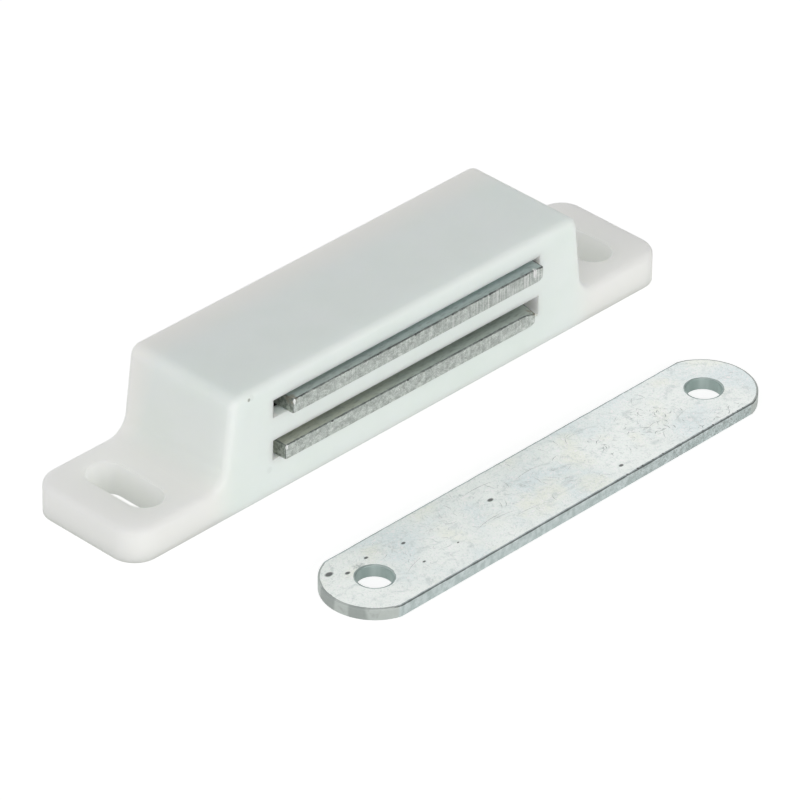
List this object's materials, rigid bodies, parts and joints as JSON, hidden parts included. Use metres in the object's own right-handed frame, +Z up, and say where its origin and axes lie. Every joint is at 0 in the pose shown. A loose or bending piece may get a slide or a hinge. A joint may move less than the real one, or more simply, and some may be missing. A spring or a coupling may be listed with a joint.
{
  "type": "magnetic door holder",
  "caption": "Magnetic cupboard catch: a moulded screw-on housing with a loose magnet pack between steel pole plates, and a flat steel strike for the door.",
  "frame": {"origin": "middle of the housing's base, the face that is screwed to the cupboard", "axes": "+X along the housing, -Y out of the windows towards the strike, +Z up from the base"},
  "size_m": [0.0818, 0.0412, 0.0143],
  "materials": {
    "housing_plastic": "satin moulded, white",
    "pole_steel": "zinc plated, sheared edges",
    "magnet_ferrite": "sintered, matt",
    "strike_steel": "bright zinc plated, fine scratches"
  },
  "bodies": {
    "housing": {"housing": "housing_plastic", "strike_plate": "strike_steel"},
    "magnet_pack": {"lower_pole_plate": "pole_steel", "upper_pole_plate": "pole_steel", "magnet": "magnet_ferrite"}
  },
  "joints": [
    {"name": "pack_push_in", "type": "slide", "parent": "housing", "child": "magnet_pack", "axis": [0, 1, 0], "range_m": [0, 0.0008]}
  ]
}
